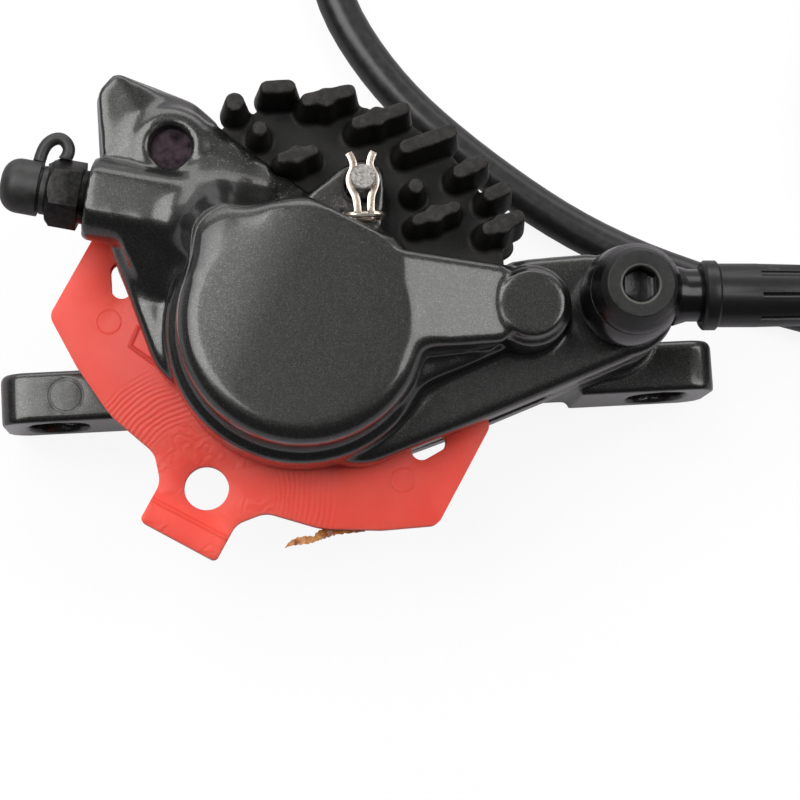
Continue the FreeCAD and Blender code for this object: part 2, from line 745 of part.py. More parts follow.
def pad_spring():
    """A thin steel sheet that pushes the pads apart: a leaf beside each pad, bridged over the rotor."""
    thick = spring_thickness
    leaf = spring_leaf_width
    top = pad_top - 0.6
    leaves = []
    for side in (-1, 1):
        edge = side * (pad_half_width - 0.45) - leaf / 2
        low = -backplate_start + 0.05
        high = backplate_start - 0.05
        for level in (low, high - thick):
            leaves.append(Part.makeBox(leaf, spring_length, thick, Vector(edge, top - spring_length, level)))
        leaves.append(Part.makeBox(leaf, thick, high - low, Vector(edge, top - thick, low)))
    reach = pad_half_width - 0.45 + leaf / 2
    bridge = Part.makeBox(2 * reach, thick, spring_bridge, Vector(-reach, top - thick, -spring_bridge / 2))
    return joined(leaves + [bridge])


def bleed_nipple():
    """Hexagon, threaded shank with a cone seat, and the spigot that the cap covers."""
    shank = Part.makeCylinder(nipple_thread, nipple_length - 1.0, Vector(0, 0, -nipple_length + 1.4))
    cone = Part.makeCone(0.9, nipple_thread, 1.4, Vector(0, 0, -nipple_length))
    collar = Part.makeCylinder(3.1, nipple_collar, Vector(0, 0, 0.15))
    base = nipple_collar + 0.15
    head = hexagon(nipple_hex, base, base + nipple_hex_length)
    bevel = Part.makeCone(3.45 + nipple_hex_length, 3.45, nipple_hex_length, Vector(0, 0, base))
    head = head.common(bevel.fuse(Part.makeCylinder(4.1, nipple_hex_length - 0.5, Vector(0, 0, base))))
    neck = Part.makeCylinder(spigot_radius, 4.4, Vector(0, 0, base + nipple_hex_length))
    bead = Part.makeTorus(spigot_radius, 0.3, Vector(0, 0, base + nipple_hex_length + 3.4))
    return in_bleed(joined([shank, cone, collar, head, neck, bead]))


def in_bleed(shape):
    return in_row(bleed_axis(shape))


def bleed_cap():
    """A soft cap with a loop and a ring round the neck of the nipple, moulded in one."""
    start = nipple_collar + 0.15 + nipple_hex_length
    collar = Part.makeCylinder(cap_radius - 0.35, 0.9, Vector(0, 0, start + 0.05))
    collar = collar.makeFillet(0.25, [collar.Edges[0], collar.Edges[2]])
    dome = Part.makeCylinder(cap_radius, cap_length, Vector(0, 0, start + 1.15))
    dome = rounded_rim(dome, start + 1.15 + cap_length, 2.1)
    neck = Part.makeCylinder(cap_radius - 0.6, 0.6, Vector(0, 0, start + 0.8))
    root = cap_radius - 0.9
    loop = [Vector(0, root, start + 1.9), Vector(0, root + 1.5, start + 1.75),
            Vector(0, root + 3.4, start + 1.1), Vector(0, root + 4.0, start - 0.1),
            Vector(0, root + 3.1, start - 1.2), Vector(0, root + 1.5, start - 0.9),
            Vector(0, root + 0.2, start + 0.45)]
    curve = Part.BSplineCurve()
    curve.interpolate(loop)
    path = Part.Wire(curve.toShape())
    first = curve.tangent(curve.FirstParameter)[0]
    section = Part.Wire(Part.makeCircle(tether_radius, loop[0], first))
    tether = path.makePipeShell([section], True, True)
    room = Part.makeCylinder(spigot_radius, 4.6, Vector(0, 0, start - 0.5))
    groove = Part.makeTorus(spigot_radius, 0.3, Vector(0, 0, start + 3.4))
    whole = joined([collar, neck, dome, tether])
    whole = whole.cut(hexagon(nipple_hex, 0, start).fuse(Part.makeCylinder(4.1, start, Vector(0, 0, 0))))
    return in_bleed(whole.cut(room).cut(groove))


def on_banjo(shape):
    """Turns a shape drawn about the hose bolt, along +X, to the way that the hose leaves."""
    centre = in_row(Part.Vertex(hose_boss_u, hose_boss_v, 0)).Point
    return moved(shape, centre.x, centre.y, rotor_plane_z, banjo_angle)


eye_low = hose_boss_height + hose_seal_height
eye_high = eye_low + eye_height
neck_height = eye_low + eye_height / 2


def banjo():
    """The eye round the hose bolt, with barrel-shaped sides, and the neck that the hose is fixed to."""
    ends = [Vector(banjo_bore, 0, eye_low), Vector(eye_end_radius, 0, eye_low),
            Vector(eye_end_radius, 0, eye_high), Vector(banjo_bore, 0, eye_high)]
    side = Part.Arc(ends[1], Vector(eye_radius, 0, neck_height), ends[2]).toShape()
    flats = [Part.LineSegment(ends[k], ends[(k + 1) % 4]).toShape() for k in (0, 2, 3)]
    profile = Part.Face(Part.Wire([flats[0], side, flats[1], flats[2]]))
    eye = profile.revolve(Vector(0, 0, 0), Vector(0, 0, 1), 360)
    neck = Part.makeCylinder(neck_radius, neck_end, Vector(0, 0, neck_height), Vector(1, 0, 0))
    root = Part.makeCone(3.5, neck_radius, 1.6, Vector(eye_radius - 0.9, 0, neck_height), Vector(1, 0, 0))
    whole = joined([eye, neck, root])
    return on_banjo(whole.cut(disc(banjo_bore, eye_low - 1, eye_high + 1)))


def hose_seal(low):
    return on_banjo(ring(banjo_bore + hose_seal_width, banjo_bore, low, low + hose_seal_height))


def banjo_bolt():
    """The hollow bolt that holds the eye: a cone-sided head with a hexagon socket in its face."""
    seat = eye_high + hose_seal_height
    top = seat + banjo_head_height
    shank = disc(banjo_bolt_radius, hose_boss_height - banjo_bolt_depth, seat)
    rim = disc(banjo_head_radius, seat, seat + banjo_head_rim)
    cone = Part.makeCone(banjo_head_radius, banjo_face_radius, banjo_head_height - banjo_head_rim,
                         Vector(0, 0, seat + banjo_head_rim))
    head = rounded_rim(joined([rim, cone]), top, 0.2)
    corner = banjo_hex / math.sqrt(3)
    mouth = Part.makeCone(banjo_hex / 2, corner + 0.15, 0.45, Vector(0, 0, top - 0.43))
    return on_banjo(joined([shank, head]).cut(hexagon(banjo_hex, top - 2.3, top + 1)).cut(mouth))


def hose_boot():
    """The sleeve over the start of the hose: a collar, a smooth neck and a fluted, tapering tail."""
    start = neck_end - 0.8
    end = start + boot_length
    smooth = start + boot_ring_length + boot_smooth
    profile = [(start, neck_radius), (start, boot_ring_radius - 0.3), (start + 0.3, boot_ring_radius),
               (start + boot_ring_length - 0.3, boot_ring_radius),
               (start + boot_ring_length, boot_radius), (smooth, boot_radius),
               (end - 0.5, boot_end_radius), (end, boot_end_radius - 0.5), (end, hose_radius),
               (neck_end, hose_radius), (neck_end, neck_radius)]
    points = [Vector(x, 0, radius) for x, radius in profile]
    face = Part.Face(Part.makePolygon(points + [points[0]]))
    sleeve = face.revolve(Vector(0, 0, 0), Vector(1, 0, 0), 360)
    for k in range(boot_flutes):
        turn = 360.0 / boot_flutes * k + 11
        drop = math.degrees(math.atan2(boot_radius - boot_end_radius, end - smooth))
        flute = Part.makeCylinder(boot_flute_radius, boot_length, Vector(0, 0, 0), Vector(1, 0, 0))
        flute.rotate(Vector(0, 0, 0), Vector(0, 1, 0), drop)
        flute.translate(Vector(smooth, 0, boot_radius + 0.05))
        flute.rotate(Vector(0, 0, 0), Vector(1, 0, 0), turn)
        sleeve = sleeve.cut(flute)
    return on_banjo(moved(sleeve, 0, 0, neck_height))


def hose_start():
    """Where the hose begins, at the end of the banjo's neck, and the way it leaves."""
    centre = in_row(Part.Vertex(hose_boss_u, hose_boss_v, 0)).Point
    turn = math.radians(banjo_angle)
    way = Vector(math.cos(turn), math.sin(turn), 0)
    return Vector(centre.x, centre.y, rotor_plane_z + neck_height) + way * neck_end, way


floor_line = floor_z + hose_radius

# The hose's way from the banjo, round in a wide loop, under the fins and on to its coil
hose_turns = [
    (84.0, 8.0, 24.0), (104.0, 19.0, 17.0), (114.5, 39.0, 10.5), (111.5, 61.0, 9.0), (98.0, 79.0, 4.0),
    (78.0, 89.0, -3.0), (56.0, 93.0, floor_line), (33.0, 93.0, floor_line),
    (12.0, 86.5, floor_line), (-0.5, 72.5, floor_line), (-1.5, 56.5, floor_line),
    (5.6, 42.8, floor_line), (17.0, 31.5, floor_line), (31.5, 20.6, floor_line),
    (49.0, 13.2, floor_line), (68.0, 6.6, floor_line), (86.0, 8.4, floor_line),
]


def hose_points():
    start, way = hose_start()
    leave = boot_length + 8.0
    turns = [Vector(*point) for point in hose_turns]
    return [start, start + way * leave] + turns


def cord_path(points):
    """Straight runs joined by tangent arcs as large as the shorter run allows."""
    edges = []
    at = points[0]
    radii = []
    for i in range(1, len(points) - 1):
        before = points[i - 1] - points[i]
        after = points[i + 1] - points[i]
        reach = 0.45 * min(before.Length, after.Length)
        before.normalize()
        after.normalize()
        turn = math.pi - before.getAngle(after)
        radius = reach / math.tan(turn / 2)
        radii.append(round(radius, 1))
        bisector = before + after
        bisector.normalize()
        centre = points[i] + bisector * math.hypot(radius, reach)
        enter = points[i] + before * reach
        leave = points[i] + after * reach
        edges.append(Part.LineSegment(at, enter).toShape())
        edges.append(Part.Arc(enter, centre - bisector * radius, leave).toShape())
        at = leave
    edges.append(Part.LineSegment(at, points[-1]).toShape())
    return Part.Wire(edges), radii


def tube(points, name):
    """A round hose along a path of runs and arcs."""
    path, radii = cord_path(points)
    section = Part.Wire(Part.makeCircle(hose_radius, points[0], points[1] - points[0]))
    solid = path.makePipeShell([section], True, True)
    share = solid.Volume / (math.pi * hose_radius ** 2 * path.Length)
    print(name, "arcs", radii, "length", round(path.Length, 1), "share of swept volume", round(share, 4))
    return solid


def hose_coil():
    """The outer shape of the coiled rest of the hose: a ring of two layers, with both ends let in."""
    half = coil_band / 2
    top = floor_z + 4 * hose_radius
    body = ring(coil_mid_radius + half, coil_mid_radius - half, floor_z, top, coil_x, coil_y)
    return body.makeFillet(1.8, rim_edges(body, floor_z) + rim_edges(body, top))


def tail_points():
    """The last stretch: off the coil's outer turn, up across it, and straight into the connector."""
    radius = (coil_mid_radius + coil_band / 2 - hose_radius) / math.cos(math.radians(tail_step / 2))
    heights = (layer_z, layer_z + 2.6, tail_z - 0.9)
    points = [Vector(coil_x - radius * math.cos(math.radians(tail_step / 2)), coil_y, layer_z)]
    for k in range(3):
        angle = math.radians(180 + tail_step * (k + 0.5))
        points.append(Vector(coil_x + radius * math.cos(angle), coil_y + radius * math.sin(angle),
                             heights[k]))
    leave = math.radians(270 + tail_step * 3 - 90)
    way = Vector(-math.sin(leave), math.cos(leave), 0)
    points.append(points[-1] + way * tail_run + Vector(0, 0, 0.9))
    return points


def spacer_frame(shape):
    return moved(shape, spacer_x, spacer_y, rotor_plane_z, -spacer_angle)


def pad_spacer():
    """The moulded sheet that keeps the pads apart: a grip, two wings and a tongue between the pads."""
    half = spacer_thickness / 2
    right = [
        (spacer_grip, -spacer_grip_length, 0.6), (spacer_grip, -2.0, 2.5), (spacer_grip + 2.4, 0.8, 3.0),
        (14.0, 2.2, 8.0), (spacer_wing - 5.5, 5.4, 4.0), (spacer_wing, spacer_wing_low, 1.6),
        (spacer_wing, spacer_wing_high, 1.6), (tongue_half_width + 2.4, spacer_wing_high + 3.6, 2.0),
        (tongue_half_width, tongue_top, 2.0),
    ]
    left = [(-x, y, radius) for x, y, radius in reversed(right)]
    sheet = slab(right + left, -half, half)
    side = spacer_grip - 0.05
    grip = slab([(side, -spacer_grip_length, 0.6), (side, -3.6, 0.2), (-side, -3.6, 0.2),
                 (-side, -spacer_grip_length, 0.6)], -half - grip_extra, half + grip_extra)
    body = joined([sheet, grip])
    body = body.cut(disc(spacer_hole, -5, 5))
    for side in (-1, 1):
        slant = math.radians(58)
        dx, dy = side * 1.0 * math.cos(slant), 1.0 * math.sin(slant)
        place = side * (spacer_wing - 5.3)
        body = body.cut(long_slot(place - dx, 16.7 - dy, place + dx, 16.7 + dy,
                                  spacer_slot_radius, -5, 5))
    return spacer_frame(body)


def tape_scrap():
    """A torn strip of amber tape stuck behind the spacer's lower edge."""
    line = [(17.6, 2.9), (14.4, 1.7), (12.8, 0.5), (10.6, -0.4)]
    strip = band(line, 0.42, -spacer_thickness / 2 - 0.15, -spacer_thickness / 2)
    return spacer_frame(strip)


def on_connector(shape):
    """Lays a shape drawn along +Z, with zero at the hose's cut end, on the end of the tail."""
    points = tail_points()
    way = points[-1] - points[-2]
    laid = shape.copy()
    laid.rotate(Vector(0, 0, 0), Vector(0, 0, 1).cross(way), math.degrees(Vector(0, 0, 1).getAngle(way)))
    laid.translate(points[-1])
    return laid


def hose_hole():
    return Part.makeCylinder(hose_radius, 60, Vector(0, 0, -30))


nut_end = -olive_length - olive_inset - nut_gap
nut_start = nut_end - nut_hex_length - nut_flange - nut_thread_length


def connector_nut():
    """The flanged nut that will hold the hose in a brake lever."""
    head = hexagon(nut_hex, nut_start, nut_start + nut_hex_length)
    flange = disc(nut_flange_radius, nut_start + nut_hex_length, nut_start + nut_hex_length + nut_flange)
    thread = disc(nut_thread_radius, nut_start + nut_hex_length, nut_end)
    thread = thread.makeChamfer(0.4, rim_edges(thread, nut_end))
    return on_connector(joined([head, flange, thread]).cut(hose_hole()))


def connector_olive():
    """The soft brass ring that seals the hose: a short barrel with a cone at each end."""
    low = -olive_inset - olive_length
    cone = olive_length / 3
    ends = [Part.makeCone(hose_radius + 0.3, olive_radius, cone, Vector(0, 0, low)),
            disc(olive_radius, low + cone, low + 2 * cone),
            Part.makeCone(olive_radius, hose_radius + 0.3, cone, Vector(0, 0, low + 2 * cone))]
    return on_connector(joined(ends).cut(hose_hole()))


def connector_insert():
    """The tubular insert in the hose's cut end; its flange shows."""
    whole = joined([disc(hose_radius, 0, 0.9), disc(1.2, 0.9, 2.4)])
    return on_connector(whole.cut(disc(0.7, -1, 9)))


nodes = {
    "caliper_front_half": in_row(front_half()),
    "caliper_rear_half": in_row(rear_half()),
    "body_bolt_left": in_row(body_bolt(-1)),
    "body_bolt_right": in_row(body_bolt(1)),
    "transfer_port_seal": in_row(port_seal()),
    "pad_pin": in_row(pad_pin()),
    "pin_clip": pin_clip(),
    "pad_return_spring": in_row(pad_spring()),
    "bleed_nipple": bleed_nipple(),
    "bleed_cap": bleed_cap(),
    "banjo": banjo(),
    "banjo_bolt": banjo_bolt(),
    "hose_seal_lower": hose_seal(hose_boss_height),
    "hose_seal_upper": hose_seal(eye_high),
    "hose_boot": hose_boot(),
    "hose_tube": tube(hose_points(), "hose"),
    "hose_coil": hose_coil(),
    "hose_tail": tube(tail_points(), "tail"),
    "connector_nut": connector_nut(),
    "connector_olive": connector_olive(),
    "connector_insert": connector_insert(),
    "pad_spacer": pad_spacer(),
    "tape_scrap": tape_scrap(),
}
for end, place in (("front", lambda shape: shape), ("rear", to_rear)):
    nodes["piston_" + end] = in_row(place(piston()))
    nodes["piston_seal_" + end] = in_row(place(piston_seal()))
    nodes["pad_plate_" + end] = in_row(place(pad_backplate()))
    nodes["pad_friction_" + end] = in_row(place(pad_friction()))
    nodes["cooling_fin_" + end] = in_row(place(cooling_fin()))

os.makedirs("parts", exist_ok=True)
for name, shape in nodes.items():
    box = shape.BoundBox
    print(name, shape.isValid(), len(shape.Solids), round(shape.Volume, 1),
          [round(value, 1) for value in (box.XMin, box.YMin, box.ZMin, box.XMax, box.YMax, box.ZMax)])
    shape.exportStep("parts/" + name + ".step")
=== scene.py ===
import bpy
import math
from mathutils import Matrix, Vector


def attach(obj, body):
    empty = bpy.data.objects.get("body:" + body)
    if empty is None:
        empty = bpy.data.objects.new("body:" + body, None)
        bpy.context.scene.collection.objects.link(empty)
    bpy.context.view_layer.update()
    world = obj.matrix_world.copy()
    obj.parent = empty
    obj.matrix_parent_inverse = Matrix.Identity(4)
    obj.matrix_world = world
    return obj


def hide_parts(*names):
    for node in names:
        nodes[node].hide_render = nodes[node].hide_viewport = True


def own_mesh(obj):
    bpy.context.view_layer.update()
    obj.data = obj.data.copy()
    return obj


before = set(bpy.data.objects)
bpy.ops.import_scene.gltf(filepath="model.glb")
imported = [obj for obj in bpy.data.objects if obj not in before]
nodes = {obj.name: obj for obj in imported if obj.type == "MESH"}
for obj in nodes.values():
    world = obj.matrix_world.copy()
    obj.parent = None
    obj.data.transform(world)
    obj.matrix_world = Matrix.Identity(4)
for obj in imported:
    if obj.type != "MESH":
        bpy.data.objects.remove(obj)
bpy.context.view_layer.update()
scene = bpy.context.scene

# Caliper halves: two aluminium forgings with soft, flowing edges, bolted together over the rotor.
# The paint is a charcoal metallic under a clear coat, with fine flakes that catch the light, and
# dust has settled along the edge over the pads.
pad_turn = math.radians(28)
pad_centre = (-0.0075, 0.007, 0.014)
hose_axis = (0.0301, 0.0087)
collar_radius = 0.0068
ejector_mark = (-0.0356, 0.0031)
mark_radius = 0.0020
lug_top = (0.0075, 0.0085)
cover_top = (0.0305, 0.0315)
cover_lean_start = -0.0030
cover_lean = 64000.0
flakes_per_metre = 11000.0
fill_foot = 0.0250
fill_fade = 0.0030


class Value:
    """One output of a shader node, which can take part in sums."""

    def __init__(self, owner, socket):
        self.owner = owner
        self.socket = socket

    def sum(self, operation, *others):
        return self.owner.node("ShaderNodeMath", {"operation": operation}, dict(enumerate((self,) + others)))

    def __add__(self, other):
        return self.sum("ADD", other)

    def __sub__(self, other):
        return self.sum("SUBTRACT", other)

    def __mul__(self, other):
        return self.sum("MULTIPLY", other)

    def __truediv__(self, other):
        return self.sum("DIVIDE", other)

    def __rsub__(self, other):
        return (self * -1.0) + other

    __radd__ = __add__
    __rmul__ = __mul__

    def fade(self, low, high):
        """0 below low and 1 above high, with a soft change between them."""
        return self.owner.node("ShaderNodeMapRange", {"interpolation_type": "SMOOTHSTEP"},
                                {0: self, 1: low, 2: high, 3: 0.0, 4: 1.0})

    def ramp(self, *stops):
        """The colour at this value along a row of (place, colour) stops."""
        return self.owner.node("ShaderNodeValToRGB", {"stops": stops}, {0: self})


class Nodes:
    """A node tree with one method that adds any node to it."""

    def __init__(self, tree):
        self.tree = tree

    def node(self, kind, settings, inputs, output=0):
        """Sets the settings first, then the value or the link of each socket."""
        made = self.tree.nodes.new(kind)
        for name, value in settings.items():
            if name == "stops":
                bar = made.color_ramp.elements
                while len(bar) < len(value):
                    bar.new(0.5)
                for mark, (where, colour) in zip(bar, value):
                    mark.position = where
                    mark.color = (*colour, 1)
            else:
                setattr(made, name, value)
        for place, value in inputs.items():
            if isinstance(value, Value):
                self.tree.links.new(value.socket, made.inputs[place])
            else:
                made.inputs[place].default_value = value
        return Value(self, made.outputs[output])

    def join(self, value, name, place):
        """Links a value to a socket of a node that the tree already has."""
        self.tree.links.new(value.socket, self.tree.nodes[name].inputs[place])

    def part(self, vector, which):
        return self.node("ShaderNodeSeparateXYZ", {}, {0: vector}, which)

    def mix(self, share, first, second):
        return self.node("ShaderNodeMix", {"data_type": "RGBA"}, {0: share, 6: first, 7: second}, 2)


class Finish(Nodes):
    """A material being built round its shader, in object coordinates."""

    def __init__(self, name, **constants):
        self.material = bpy.data.materials.new(name)
        self.material.use_nodes = True
        super().__init__(self.material.node_tree)
        self.shader = self.tree.nodes["Principled BSDF"]
        for constant, value in constants.items():
            socket = constant.replace("_", " ").title().replace("Ior", "IOR")
            self.shader.inputs[socket].default_value = value
        self.place = self.node("ShaderNodeTexCoord", {}, {}, "Object")

    def feed(self, name, value):
        """Links a value to a socket of the shader."""
        self.join(value, "Principled BSDF", name)

    def noise(self, scale, detail=2.0, roughness=0.5):
        return self.node("ShaderNodeTexNoise", {}, {"Vector": self.place, "Scale": scale,
                                                    "Detail": detail, "Roughness": roughness})

    def cells(self, scale, output="Distance"):
        return self.node("ShaderNodeTexVoronoi", {}, {"Vector": self.place, "Scale": scale}, output)

    def bump(self, height, depth):
        """Raises the surface by up to depth, in metres."""
        self.feed("Normal", self.node("ShaderNodeBump", {}, {"Distance": depth, "Height": height}))

    def away(self, centre):
        """The distance from an upright axis, in metres."""
        x, y = (self.part(self.place, k) - centre[k] for k in (0, 1))
        return (x * x + y * y).sum("SQRT")

    def ridge(self, start, end, width):
        """1 along a straight line seen from above, fading to 0 at the width given."""
        x, y = (self.part(self.place, k) - start[k] for k in (0, 1))
        run = [end[k] - start[k] for k in (0, 1)]
        along = (x * run[0] + y * run[1]) / (run[0] ** 2 + run[1] ** 2)
        along = along.sum("MAXIMUM", 0.0).sum("MINIMUM", 1.0)
        off = [x - along * run[0], y - along * run[1]]
        return 1 - (off[0] * off[0] + off[1] * off[1]).sum("SQRT").fade(0.0, width)

    def turned(self, centre, turn):
        """Object coordinates carried to a frame with its own centre and turn about Z."""
        return self.node("ShaderNodeMapping", {"vector_type": "TEXTURE"},
                         {0: self.place, 1: centre, 2: (0.0, 0.0, turn)})


def flaked_paint():
    paint = Finish("charcoal_flake_paint", coat_roughness=0.13, coat_ior=1.5)
    cell = paint.cells(flakes_per_metre, "Color")
    flake, spark = paint.part(cell, 0), paint.part(cell, 1)
    cloud = paint.noise(260.0, 3.0)
    body = flake.ramp((0.0, (0.030, 0.030, 0.029)), (0.8, (0.049, 0.049, 0.047)),
                      (0.98, (0.085, 0.085, 0.079)))
    pads = paint.turned(pad_centre, -pad_turn)
    across, away, up = (paint.part(pads, k) for k in range(3))
    band = away.fade(0.0105, 0.0135) * up.fade(0.002, 0.004) * (1 - up.fade(0.0110, 0.0150))
    band = band * across.fade(-0.021, -0.016) * (1 - across.fade(0.018, 0.024))
    grains = (1 - paint.cells(3600.0).fade(0.12, 0.30)) * paint.noise(1600.0).fade(0.46, 0.56)
    dust = (grains * band * 0.6) + (band * cloud.fade(0.45, 0.65) * 0.03)
    paint.feed("Base Color", paint.mix(dust, body, (0.38, 0.34, 0.28, 1.0)))
    paint.feed("Roughness", (spark * 0.08) + (dust * 0.4) + 0.27)
    paint.feed("Metallic", (1 - dust) * 0.8)
    paint.feed("Coat Weight", (1 - dust) * 0.7)
    peel = paint.noise(420.0, 1.0)
    mark = 1 - (paint.away(ejector_mark) - mark_radius).sum("ABSOLUTE").fade(0.00005, 0.00022)
    collar = 1 - (paint.away(hose_axis) - collar_radius).sum("ABSOLUTE").fade(0.0, 0.0005)
    height = paint.part(paint.place, 2)
    low = 1 - height.fade(*lug_top)
    lean = (cover_lean_start - across).sum("MAXIMUM", 0.0)
    fall = lean * lean * height.fade(*cover_top) * cover_lean
    paint.bump((spark * 0.025) + (peel * 0.02) - (mark * low) + (collar * low * 0.6) - fall, 0.00016)
    return paint.material


def reshape(piece):
    """Turns a piece's modifiers into its mesh."""
    bpy.context.view_layer.update()
    shaped = piece.evaluated_get(bpy.context.evaluated_depsgraph_get())
    mesh = bpy.data.meshes.new_from_object(shaped)
    piece.modifiers.clear()
    piece.data = mesh


def smooth(piece, passes, group=""):
    flow = piece.modifiers.new("flow", "SMOOTH")
    flow.factor = 0.5
    flow.iterations = passes
    flow.vertex_group = group


def cast_skin(node, name, cell, passes, blends=(), fills=()):
    """A copy of a rigid node with its edges run out, as a casting or forging has them. A blend is a
    place (x, y, z, reach, passes) where the surfaces flow into each other more widely, and a fill is
    a place (x, y, reach, level) where the top comes up or down towards a level."""
    piece = bpy.data.objects.new(name, nodes[node].data.copy())
    scene.collection.objects.link(piece)
    skin = piece.modifiers.new("skin", "REMESH")
    skin.mode = "VOXEL"
    skin.voxel_size = cell
    smooth(piece, passes)
    reshape(piece)
    for x, y, reach, level in fills:
        for vertex in piece.data.vertices:
            away = math.hypot(vertex.co.x - x, vertex.co.y - y) / reach
            if away < 1 and vertex.co.z > fill_foot:
                share = min(1.0, (vertex.co.z - fill_foot) / fill_fade) * (1 - away ** 2) ** 2
                vertex.co.z += (level - vertex.co.z) * share
    for k, (x, y, z, reach, wide_passes) in enumerate(blends):
        group = piece.vertex_groups.new(name=f"blend_{k}")
        centre = Vector((x, y, z))
        for vertex in piece.data.vertices:
            near = 1 - (vertex.co - centre).length / reach
            if near > 0:
                group.add([vertex.index], min(1.0, 2 * near), "REPLACE")
        smooth(piece, wide_passes, group.name)
    reshape(piece)
    piece.data.materials.clear()
    piece.data.shade_smooth()
    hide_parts(node)
    return piece


forging_cell = 0.00034
forging_passes = 7
filled_places = [
    (-0.0180, 0.0184, 0.0050, 0.0326), (-0.0150, 0.0203, 0.0040, 0.0320), (-0.0201, 0.0215, 0.0032, 0.0261),
]
soft_places = [
    (-0.0178, 0.0175, 0.0300, 0.0075, 120), (-0.0138, 0.0193, 0.0310, 0.0050, 80),
    (-0.0200, 0.0161, 0.0270, 0.0040, 60), (-0.0285, 0.0211, 0.0250, 0.0035, 30),
    (-0.0251, 0.0203, 0.0250, 0.0035, 30), (-0.0217, 0.0197, 0.0250, 0.0035, 30),
    (-0.0215, 0.0249, 0.0250, 0.0030, 20), (-0.0165, 0.0233, 0.0250, 0.0035, 40),
    (-0.0172, 0.0323, 0.0220, 0.0045, 40), (0.0050, 0.0030, 0.0300, 0.0040, 40),
    (0.0063, -0.0001, 0.0245, 0.0050, 40), (-0.0248, 0.0150, 0.0230, 0.0050, 40),
    (-0.0180, 0.0238, 0.0260, 0.0040, 60), (-0.0150, 0.0233, 0.0270, 0.0050, 100),
    (-0.0120, 0.0226, 0.0280, 0.0050, 100), (-0.0165, 0.0205, 0.0300, 0.0065, 160),
    (-0.0190, 0.0180, 0.0290, 0.0065, 160), (-0.0205, 0.0212, 0.0255, 0.0035, 30),
    (-0.0262, 0.0309, 0.0225, 0.0032, 40), (-0.0254, 0.0285, 0.0220, 0.0028, 30),
    (-0.0215, 0.0335, 0.0220, 0.0035, 40),
]
paint = flaked_paint()
forgings = {"caliper_front_half": (soft_places, filled_places), "caliper_rear_half": ((), ())}
for node, (blends, fills) in forgings.items():
    half = cast_skin(node, node + "_forging", forging_cell, forging_passes, blends, fills)
    half.data.materials.append(paint)
    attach(half, "caliper")

# Body bolts: two black steel cap screws that go in from the rear half and clamp the forgings
# together. The left one's threaded end shows at the bottom of its ringed boss.
same_point = 0.000002
same_corner = 0.0000001
edge_angle = math.radians(35)
crisp_angle = math.radians(40)


def dress(node, finish, edge=0.0):
    """Gives a rigid node its finish, and rounds its sharp edges by the width given."""
    piece = nodes[node]
    piece.data.materials.clear()
    piece.data.materials.append(finish)
    piece.modifiers.new("weld", "WELD").merge_threshold = same_point
    if edge:
        bevel = piece.modifiers.new("edge", "BEVEL")
        bevel.width = edge
        bevel.segments = 2
        bevel.limit_method = "ANGLE"
        bevel.angle_limit = edge_angle
        piece.modifiers.new("clean", "WELD").merge_threshold = same_corner
    piece.data.shade_smooth()
    piece.modifiers.new("crisp", "EDGE_SPLIT").split_angle = crisp_angle


bolt = Finish("dark_bolt_steel", metallic=1.0)
wear = bolt.noise(900.0, 4.0)
bolt.feed("Base Color", wear.ramp((0.3, (0.008, 0.006, 0.008)), (0.7, (0.05, 0.035, 0.042))))
bolt.feed("Roughness", wear * 0.3 + 0.3)
bolt.bump(wear, 0.00004)
for node in ("body_bolt_left", "body_bolt_right"):
    dress(node, bolt.material)

# Pistons and seals: pale ceramic pistons in square-section rubber rings, which sit in grooves of
# the two bores. A small rubber ring seals the fluid port between the halves.
ceramic = Finish("piston_ceramic", roughness=0.35)
mottle = ceramic.noise(500.0, 3.0)
ceramic.feed("Base Color", mottle.ramp((0.3, (0.62, 0.60, 0.55)), (0.7, (0.72, 0.70, 0.66))))
rubber = Finish("seal_rubber")
bloom = rubber.noise(600.0, 3.0)
rubber.feed("Base Color", bloom.ramp((0.3, (0.012, 0.012, 0.012)), (0.7, (0.03, 0.03, 0.03))))
rubber.feed("Roughness", bloom * 0.2 + 0.5)
for end in ("front", "rear"):
    dress("piston_" + end, ceramic.material)
    dress("piston_seal_" + end, rubber.material)
dress("transfer_port_seal", rubber.material)

# Pads: a sintered metal lining, grey-brown with coppery grains, which is fused on a plated steel
# back. Each pad hangs on the pin by the ear of its back.
lining = Finish("sintered_lining", metallic=0.4)
grit = lining.cells(2600.0, "Color")
lining.feed("Base Color", lining.part(grit, 0).ramp((0.0, (0.05, 0.045, 0.04)), (0.6, (0.11, 0.09, 0.075)),
                                                    (0.92, (0.33, 0.25, 0.17))))
lining.feed("Roughness", lining.noise(800.0) * 0.2 + 0.6)
lining.bump(lining.cells(2600.0), 0.00008)
plated = Finish("plated_steel", metallic=1.0)
brushed = plated.noise(700.0, 4.0)
plated.feed("Base Color", brushed.ramp((0.3, (0.26, 0.26, 0.27)), (0.7, (0.42, 0.42, 0.43))))
plated.feed("Roughness", brushed * 0.2 + 0.3)
for end in ("front", "rear"):
    dress("pad_plate_" + end, plated.material)
    dress("pad_friction_" + end, lining.material)

